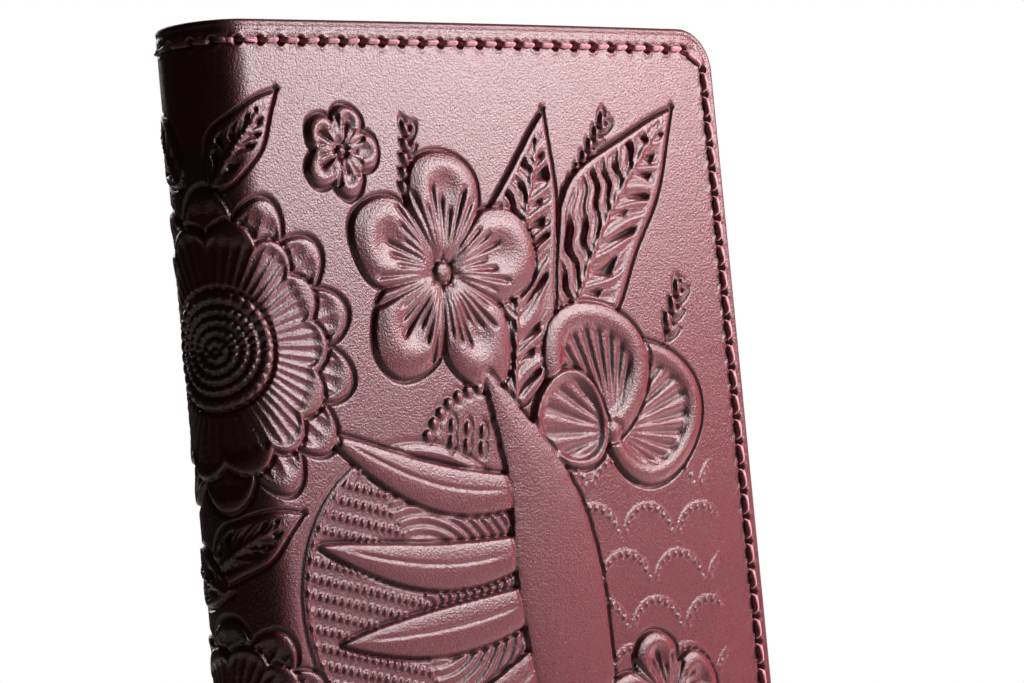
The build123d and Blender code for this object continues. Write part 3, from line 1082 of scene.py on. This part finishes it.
def make_hide(look):
    """The embossed hide: two halves of each cover and the four bending strips."""
    base, rows, along, up = whole_grid(look["cell"], look["cell"] * 1.45, look["cell"], look["cell"])
    press = pressed_in_parts(along, up)
    rim = corner_distance(np.abs(along), up, FORE_EDGE, 0, HEIGHT, CORNER_RADIUS)
    crease = 0.1 * bump(rim - 1.15, 0.22)
    depth = edge_drop(rim, HIDE_EDGE) + crease - press
    face = hide_points(along, up, depth)
    normals = outward_normals(face, along, up)
    # The press attribute is lowered at the edge and along the crease line, so both take the groove colour: burnish on
    # the edge, painted shade in the crease and in every recess.
    shade_and_burnish = press - 0.4 * bump(rim, 0.5) - crease
    grids = (face, hide_points(along, up, HIDE), shade_and_burnish, normals)
    middle = len(rows) // 2
    finish = hide_finish(look["colour"], look["groove"], look["roughness"])
    halves = (("lower", slice(0, middle + 1)), ("upper", slice(middle, None)))
    for cover, columns in zip(("front_cover", "back_cover"), cover_ranges(base)):
        for half, part in halves:
            obj = lay_sheet(f"{cover}_{half}_hide", finish, grids, part, columns, 24)
            declare(obj, "hide", f"{cover}_hide")
            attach(obj, cover)
    lay_bends("hide", finish, grids, base, 5)


def make_lining(look):
    """The napped lining behind the hide."""
    base, rows, along, up = whole_grid(INNER_CELL, INNER_CELL, 0.6, INNER_CELL)
    rim = corner_distance(np.abs(along), up, FORE_EDGE, 0, HEIGHT, CORNER_RADIUS)
    draw = np.zeros_like(along)
    for side in (FRONT, BACK):
        draw += dimples(along, up, seam_holes(side)) * 0.7
    waves = 0.05 * np.sin(along * 0.35 + up * 0.11) * np.sin(up * 0.22 - along * 0.07) * ramp(rim / 8)
    depth = POCKET_DEPTH - edge_drop(rim, LINING_EDGE) - np.clip(draw, 0, 0.45) + waves
    face = hide_points(along, up, depth)
    grids = (face, hide_points(along, up, HIDE + 0.02), np.zeros_like(along), -outward_normals(face, along, up))
    finish = lining_finish(look["colour"])
    for cover, columns in zip(("front_cover", "back_cover"), cover_ranges(base)):
        obj = lay_sheet(f"{cover}_lining_sheet", finish, grids, slice(None), columns, 8)
        declare(obj, "lining", f"{cover}_lining")
        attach(obj, cover)
    lay_bends("lining", finish, grids, base, 3)


def outward_normals(face, along, up):
    """Normals of a sheet's face, made to point out of the cover."""
    normals = grid_normals(face)
    toward = hide_points(along, up, -1.0) - hide_points(along, up, 0.0)
    return normals if np.einsum("ijk,ijk->", normals, toward) > 0 else -normals


def notched_places(low, high, centre, cell):
    """Places along an edge that carries a half-moon notch."""
    plain = steps_between(low, high, cell)
    plain = plain[np.abs(plain - centre) > THUMB_NOTCH + 0.05]
    arc = centre + THUMB_NOTCH * np.sin(np.linspace(-np.pi / 2, np.pi / 2, 49))
    return np.sort(np.concatenate([plain, arc]))


def notch_depth(place, centre):
    return np.sqrt(np.clip(THUMB_NOTCH**2 - (place - centre) ** 2, 0, None))


def even_shares(length, cell):
    return steps_between(0, length, cell) / length


def strip(solid, side, lows, highs, depths, radius=0.0):
    """A plain strip of leather between two depths."""
    rows = steps_between(lows[1], highs[1], 1.5)
    shares = np.linspace(0, 1, 4)
    along, up = np.meshgrid(shares, rows)
    cut = corner_cut(up, 0, HEIGHT, radius) if radius else 0
    along = lows[0] + along * (highs[0] - cut - lows[0])
    place = signed(side, along)
    solid.sheet(hide_points(place, up, depths[1]), hide_points(place, up, depths[0]), np.zeros_like(up))


def make_passport_pocket(side, finish):
    """A passport pocket, open towards the spine, on its sewn borders."""
    label = "front" if side == FRONT else "back"
    near, middle = FORE_EDGE - POCKET_WIDTHS[label], HEIGHT / 2
    panel = POCKET_DEPTH + POCKET_ROOM
    top = panel + POCKET_LEATHER
    rows = notched_places(0, HEIGHT, middle, INNER_CELL)
    shares, up = np.meshgrid(even_shares(POCKET_WIDTHS[label], INNER_CELL), rows)
    start = near + notch_depth(up, middle)
    far = FORE_EDGE - corner_cut(up, 0, HEIGHT, CORNER_RADIUS)
    along = start + shares * (far - start)
    rim = corner_distance(along, up, FORE_EDGE, 0, HEIGHT, CORNER_RADIUS)
    mouth = np.where(np.abs(up - middle) < THUMB_NOTCH, 99, along - near)
    mouth = np.minimum(mouth, np.hypot(along - near, up - middle) - THUMB_NOTCH)
    place = signed(side, along)
    draw = dimples(place, up, seam_holes(side))
    swell = 0.16 * ramp((rim - 3) / 12) * (1 - 0.4 * ramp((6 - mouth) / 6))
    crease = 0.13 * bump(mouth - 1.6, 0.25) + 0.1 * bump(rim - 1.1, 0.22)
    depth = top - edge_drop(np.minimum(rim, mouth), POCKET_EDGE) - draw + swell - crease
    solid = Solid()
    press = -0.45 * bump(np.minimum(rim, mouth), 0.4) - crease
    solid.sheet(hide_points(place, up, depth), hide_points(place, up, panel + swell), press, skip=6)
    depths = (POCKET_DEPTH, panel + 0.05)
    strip(solid, side, (near, HEIGHT - POCKET_BORDER), (FORE_EDGE, HEIGHT), depths, CORNER_RADIUS)
    strip(solid, side, (near, 0), (FORE_EDGE, POCKET_BORDER), depths, CORNER_RADIUS)
    low, high = (FORE_EDGE - POCKET_BORDER, POCKET_BORDER), (FORE_EDGE, HEIGHT - POCKET_BORDER)
    strip(solid, side, low, high, depths, CORNER_RADIUS)
    obj = solid.build(f"{label}_passport_pocket_leather", finish)
    declare(obj, "pocket", f"{label}_passport_pocket")
    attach(obj, f"{label}_cover")


CARD_FAR = FORE_EDGE - POCKET_BORDER
CARD_NEAR = CARD_FAR - CARD_WIDTH
CARD_BORDER = 3.0


def card_rows():
    """Stitch holes of the two card pockets, each course in order."""
    near, far = CARD_NEAR + CARD_SEAM_MARGIN, CARD_FAR - CARD_SEAM_MARGIN

    def sides(start, end):
        heights = [start + CARD_PITCH * step for step in range(int((end - start) / CARD_PITCH), -1, -1)]
        return [(near, up) for up in heights], [(far, up) for up in heights[::-1]]

    foot = CARD_BASE + CARD_SEAM_MARGIN
    left, right = sides(foot, CARD_BASE + CARD_TOPS["lower"] - CARD_SEAM_MARGIN)
    steps = round((far - near) / CARD_PITCH)
    bottom = [(near + (far - near) / steps * step, foot) for step in range(1, steps)]
    upper = sides(CARD_BASE + CARD_TOPS["lower"] + CARD_SEAM_MARGIN, CARD_BASE + CARD_TOPS["upper"] - CARD_SEAM_MARGIN)
    return {"lower": [left + bottom + right], "upper": list(upper)}


def make_card_pocket(name, finish):
    """A card pocket, open at the top with a half-moon for the thumb."""
    top, depth = CARD_BASE + CARD_TOPS[name], CARD_DEPTHS[name]
    panel = depth + CARD_ROOM
    middle = (CARD_NEAR + CARD_FAR) / 2
    columns = notched_places(CARD_NEAR, CARD_FAR, middle, INNER_CELL)
    shares, along = np.meshgrid(even_shares(CARD_TOPS[name], INNER_CELL), columns)
    up = CARD_BASE + shares * (top - notch_depth(along, middle) - CARD_BASE)
    rim = np.minimum(np.minimum(along - CARD_NEAR, CARD_FAR - along), up - CARD_BASE)
    mouth = np.where(np.abs(along - middle) < THUMB_NOTCH, 99, top - up)
    mouth = np.minimum(mouth, np.hypot(along - middle, top - up) - THUMB_NOTCH)
    place = signed(BACK, along)
    holes = [(-hole, height) for row in card_rows()[name] for hole, height in row]
    draw = card_dimples(place, up, holes)
    swell = 0.12 * ramp((rim - 2) / 8)
    crease = 0.12 * bump(mouth - 1.5, 0.22)
    rounding = edge_drop(np.minimum(rim, mouth), CARD_EDGE)
    face = panel + CARD_LEATHER - rounding - draw + swell - crease
    press = -0.45 * bump(np.minimum(rim, mouth), 0.4) - crease
    solid = Solid()
    solid.sheet(hide_points(place, up, face), hide_points(place, up, panel + swell), press, skip=6)
    depths = (depth + 0.02, panel + 0.05)
    for near, far in ((CARD_NEAR, CARD_NEAR + CARD_BORDER), (CARD_FAR - CARD_BORDER, CARD_FAR)):
        strip(solid, BACK, (near, CARD_BASE), (far, top), depths)
    low = (CARD_NEAR + CARD_BORDER, CARD_BASE)
    high = (CARD_FAR - CARD_BORDER, CARD_BASE + CARD_BORDER)
    strip(solid, BACK, low, high, depths)
    obj = solid.build(f"{name}_card_pocket_leather", finish)
    declare(obj, "pocket", f"{name}_card_pocket")
    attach(obj, "back_cover")


def card_dimples(along, up, holes):
    best = np.full(along.shape, 9.0)
    for hole_along, hole_up in holes:
        best = np.minimum(best, np.hypot(along - hole_along, up - hole_up))
    return 0.4 * ramp((CARD_HOLE * 0.7 - best) / 0.4) + 0.12 * bump(best, 1.0)


def inner_depth(side):
    """Depth of the face that a cover's inner stitches lie on, for each place."""
    label = "front" if side == FRONT else "back"
    near = FORE_EDGE - POCKET_WIDTHS[label]
    return lambda along: UPPER_CARD_DEPTH if abs(along) > near else POCKET_DEPTH


def make_thread(look):
    """Saddle stitches round the covers, over the spine, and round the card pockets."""
    finish = thread_finish(look["colour"])
    tree = stitch_tree()
    values = {
        "Thread_width": look["width"],
        "Rise": look["rise"],
        "Plunge": 0.0006,
        "Seed": 4,
        "Material": finish,
    }
    for side, label in ((FRONT, "front"), (BACK, "back")):
        seam = Seam()
        holes = seam_holes(side)
        seam.run(holes, lambda along: 0.0, OUT)
        seam.run(holes, inner_depth(side), IN)
        obj = seam.sew(f"{label}_cover_stitches", tree, values)
        declare(obj, "thread", f"{label}_cover_thread")
        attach(obj, f"{label}_cover")
    for bend, (first, last) in enumerate(zip(JOIN_LINES, JOIN_LINES[1:])):
        seam = Seam()
        for up in (SEAM_MARGIN, SEAM_TOP):
            row = [(along, up) for along in spine_holes()]
            seam.run(row, lambda along: 0.0, OUT)
            seam.run(row, lambda along: POCKET_DEPTH, IN)
        obj = seam.sew(f"{BENDS[bend][0]}_to_{BENDS[bend][1]}_stitches", tree, values)
        keep_between(obj, first, last)
        names = [f"{body}_thread" for body in BENDS[bend]]
        declare(obj, "thread", *names)
        carry(obj, bend)
    seam = Seam()
    for name, rows in card_rows().items():
        face = CARD_DEPTHS[name] + CARD_ROOM + CARD_LEATHER
        for row in rows:
            seam.run([(-along, up) for along, up in row], lambda along, face=face: face, IN, CARD_HOLE)
    obj = seam.sew("card_pocket_stitches", tree, values | {"Thread_width": look["width"] * 0.8})
    declare(obj, "thread", "card_pocket_thread")
    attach(obj, "back_cover")


# ---------------------------------------------------------------- stage

FACE_MIDDLE = hide_point(52.0, 85.0)
KEY_SPOT = (32.0, 160.0)  # where the front mirrors the key light
KEY_WAY = Vector((0.504, -0.859, 0.096))
KEY_AWAY = 0.25
SIDE_WAY = Vector((0.8, -0.6, 0.12))
CAMERA_PLACE = Vector((-1.0112, -0.7341, -0.0283))
CAMERA_RIGHT = Vector((0.5826, -0.8072, -0.0948))
CAMERA_DOWN = Vector((0.0229, 0.1329, -0.9909))
CAMERA_LENS = 316.4


def area_light(name, place, aim, size, power, gloss=True, matt=True):
    data = bpy.data.lights.new(name, "AREA")
    data.shape = "RECTANGLE"
    data.size, data.size_y = size
    data.energy = power
    light = add_object(name, data)
    light.location = place
    light.rotation_euler = (aim - place).to_track_quat("-Z", "Y").to_euler()
    light.visible_camera = False
    light.visible_diffuse, light.visible_glossy = matt, gloss


def make_stage(look):
    """Pale floor, soft lights and the camera."""
    work = bmesh.new()
    bmesh.ops.create_circle(work, cap_ends=True, radius=0.6, segments=96)
    mesh = bpy.data.meshes.new("floor")
    work.to_mesh(mesh)
    work.free()
    mesh.materials.append(Finish("floor finish", look["floor"], 0.8).material)
    floor = add_object("floor", mesh)
    floor.visible_diffuse = False

    bright = hide_point(KEY_SPOT[0], KEY_SPOT[1])
    area_light("key light", bright + KEY_WAY * KEY_AWAY, bright, (0.18, 0.08), look["key"], matt=False)
    area_light("side light", FACE_MIDDLE + SIDE_WAY * 0.5, FACE_MIDDLE, (0.2, 0.2), look["side"], gloss=False)
    area_light("fill light", Vector((0.3, -0.6, 0.3)), FACE_MIDDLE, (0.5, 0.5), look["fill"])
    area_light("rear light", Vector((0.45, 0.55, 0.5)), Vector((0, 0, 0.07)), (0.5, 0.5), look["rear"])

    scene = bpy.context.scene
    world = bpy.data.worlds.new("studio")
    scene.world = world
    world.use_nodes = True
    nodes, links = world.node_tree.nodes, world.node_tree.links
    nodes.clear()
    rays = nodes.new("ShaderNodeLightPath")
    seen, cast = nodes.new("ShaderNodeBackground"), nodes.new("ShaderNodeBackground")
    blend = nodes.new("ShaderNodeMixShader")
    seen.inputs[0].default_value = (1, 1, 1, 1)
    cast.inputs[0].default_value = (1, 1, 1, 1)
    cast.inputs[1].default_value = look["world"]
    out = nodes.new("ShaderNodeOutputWorld")
    links.new(rays.outputs["Is Camera Ray"], blend.inputs[0])
    links.new(cast.outputs[0], blend.inputs[1])
    links.new(seen.outputs[0], blend.inputs[2])
    links.new(blend.outputs[0], out.inputs[0])
    scene.view_settings.view_transform = "Standard"

    data = bpy.data.cameras.new("camera")
    data.lens, data.sensor_width = CAMERA_LENS, 36
    data.clip_start, data.clip_end = 0.01, 20
    camera = add_object("camera", data)
    back = CAMERA_RIGHT.cross(-CAMERA_DOWN)
    turn = Matrix((CAMERA_RIGHT, -CAMERA_DOWN, back)).transposed()
    camera.matrix_world = Matrix.LocRotScale(CAMERA_PLACE, turn.to_quaternion(), None)
    scene.camera = camera


# ---------------------------------------------------------------- add-on


class HideSizes(bpy.types.PropertyGroup):
    """Pressed hide"""

    cell: bpy.props.FloatProperty(
        name="Cell", description="Spacing of the pressed surface, in millimetres", default=0.25, min=0.15
    )
    roughness: bpy.props.FloatProperty(
        name="Roughness", description="Dullness of the waxed hide", default=0.3, subtype="FACTOR"
    )
    colour: bpy.props.FloatVectorProperty(
        name="Colour", description="Dye of the hide", default=(0.125, 0.014, 0.02), subtype="COLOR"
    )
    # Colour of the recesses: painted shade in the grooves and stitch holes, with some antique dye.
    groove: bpy.props.FloatVectorProperty(
        name="Groove colour", description="Dye that gathers in the grooves", default=(0.022, 0.003, 0.004), subtype="COLOR"
    )


class LiningSizes(bpy.types.PropertyGroup):
    """Lining"""

    colour: bpy.props.FloatVectorProperty(
        name="Colour", description="Dye of the lining", default=(0.1, 0.02, 0.022), subtype="COLOR"
    )


class PocketSizes(bpy.types.PropertyGroup):
    """Pockets"""

    roughness: bpy.props.FloatProperty(
        name="Roughness", description="Dullness of the pocket leather", default=0.5, subtype="FACTOR"
    )
    colour: bpy.props.FloatVectorProperty(
        name="Colour", description="Dye of the pocket leather", default=(0.095, 0.013, 0.018), subtype="COLOR"
    )


class ThreadSizes(bpy.types.PropertyGroup):
    """Waxed thread"""

    width: bpy.props.FloatProperty(
        name="Width", description="Width of the thread", default=0.85 * MM, unit="LENGTH"
    )
    rise: bpy.props.FloatProperty(
        name="Rise", description="How far a stitch stands off the face", default=0.26 * MM, unit="LENGTH"
    )
    colour: bpy.props.FloatVectorProperty(
        name="Colour", description="Colour of the thread", default=(0.58, 0.19, 0.22), subtype="COLOR"
    )


class StageSizes(bpy.types.PropertyGroup):
    """Stage"""

    key: bpy.props.FloatProperty(name="Key", description="Power of the key light", default=1.0, unit="POWER")
    side: bpy.props.FloatProperty(name="Side", description="Power of the side light", default=8.2, unit="POWER")
    fill: bpy.props.FloatProperty(name="Fill", description="Power of the other lights", default=0.2, unit="POWER")
    rear: bpy.props.FloatProperty(name="Rear", description="Power of the rear light", default=5.0, unit="POWER")
    world: bpy.props.FloatProperty(name="World", description="Strength of the light all round", default=0.02)
    floor: bpy.props.FloatVectorProperty(
        name="Floor", description="Colour of the floor", default=(0.8, 0.8, 0.8), subtype="COLOR"
    )


def look_of(group):
    """A group's settings as plain values."""
    values = {}
    for name in group.bl_rna.properties.keys():
        if name in ("rna_type", "name"):
            continue
        value = getattr(group, name)
        values[name] = tuple(value) if hasattr(value, "__len__") and not isinstance(value, str) else value
    return values


class PASSPORT_OT_hide(bpy.types.Operator):
    """Press and lay the hide"""

    bl_idname = "passport_cover.hide"
    bl_label = "Hide"

    def execute(self, context):
        make_hide(look_of(context.scene.cover_hide))
        return {"FINISHED"}


class PASSPORT_OT_lining(bpy.types.Operator):
    """Lay the lining behind the hide"""

    bl_idname = "passport_cover.lining"
    bl_label = "Lining"

    def execute(self, context):
        make_lining(look_of(context.scene.cover_lining))
        return {"FINISHED"}


class PASSPORT_OT_pockets(bpy.types.Operator):
    """Make the passport pockets and the card pockets"""

    bl_idname = "passport_cover.pockets"
    bl_label = "Pockets"

    def execute(self, context):
        look = look_of(context.scene.cover_pockets)
        finish = plain_leather_finish(look["colour"], look["roughness"])
        for side in (FRONT, BACK):
            make_passport_pocket(side, finish)
        for name in CARD_TOPS:
            make_card_pocket(name, finish)
        return {"FINISHED"}


class PASSPORT_OT_thread(bpy.types.Operator):
    """Sew the seams"""

    bl_idname = "passport_cover.thread"
    bl_label = "Thread"

    def execute(self, context):
        make_thread(look_of(context.scene.cover_thread))
        return {"FINISHED"}


class PASSPORT_OT_stage(bpy.types.Operator):
    """Set out the floor, the lights and the camera"""

    bl_idname = "passport_cover.stage"
    bl_label = "Stage"

    def execute(self, context):
        make_stage(look_of(context.scene.cover_stage))
        return {"FINISHED"}


SETTINGS = {
    "cover_hide": HideSizes,
    "cover_lining": LiningSizes,
    "cover_pockets": PocketSizes,
    "cover_thread": ThreadSizes,
    "cover_stage": StageSizes,
}
OPERATORS = (PASSPORT_OT_hide, PASSPORT_OT_lining, PASSPORT_OT_pockets, PASSPORT_OT_thread, PASSPORT_OT_stage)


class PASSPORT_PT_panel(bpy.types.Panel):
    """Sizes, finishes and steps of the passport cover"""

    bl_idname = "PASSPORT_PT_panel"
    bl_label = "Passport cover"
    bl_space_type = "VIEW_3D"
    bl_region_type = "UI"
    bl_category = "Passport cover"

    def draw(self, context):
        for (name, group), operator in zip(SETTINGS.items(), OPERATORS):
            box = self.layout.box()
            for setting in group.__annotations__:
                box.prop(getattr(context.scene, name), setting)
            box.operator(operator.bl_idname)


CLASSES = (*SETTINGS.values(), *OPERATORS, PASSPORT_PT_panel)


def register():
    for item in CLASSES:
        bpy.utils.register_class(item)
    for name, group in SETTINGS.items():
        setattr(bpy.types.Scene, name, bpy.props.PointerProperty(type=group))


def unregister():
    for name in SETTINGS:
        delattr(bpy.types.Scene, name)
    for item in reversed(CLASSES):
        bpy.utils.unregister_class(item)


def main():
    register()
    bpy.ops.passport_cover.hide()
    bpy.ops.passport_cover.lining()
    bpy.ops.passport_cover.pockets()
    bpy.ops.passport_cover.thread()
    bpy.ops.passport_cover.stage()


if __name__ == "__main__":
    main()
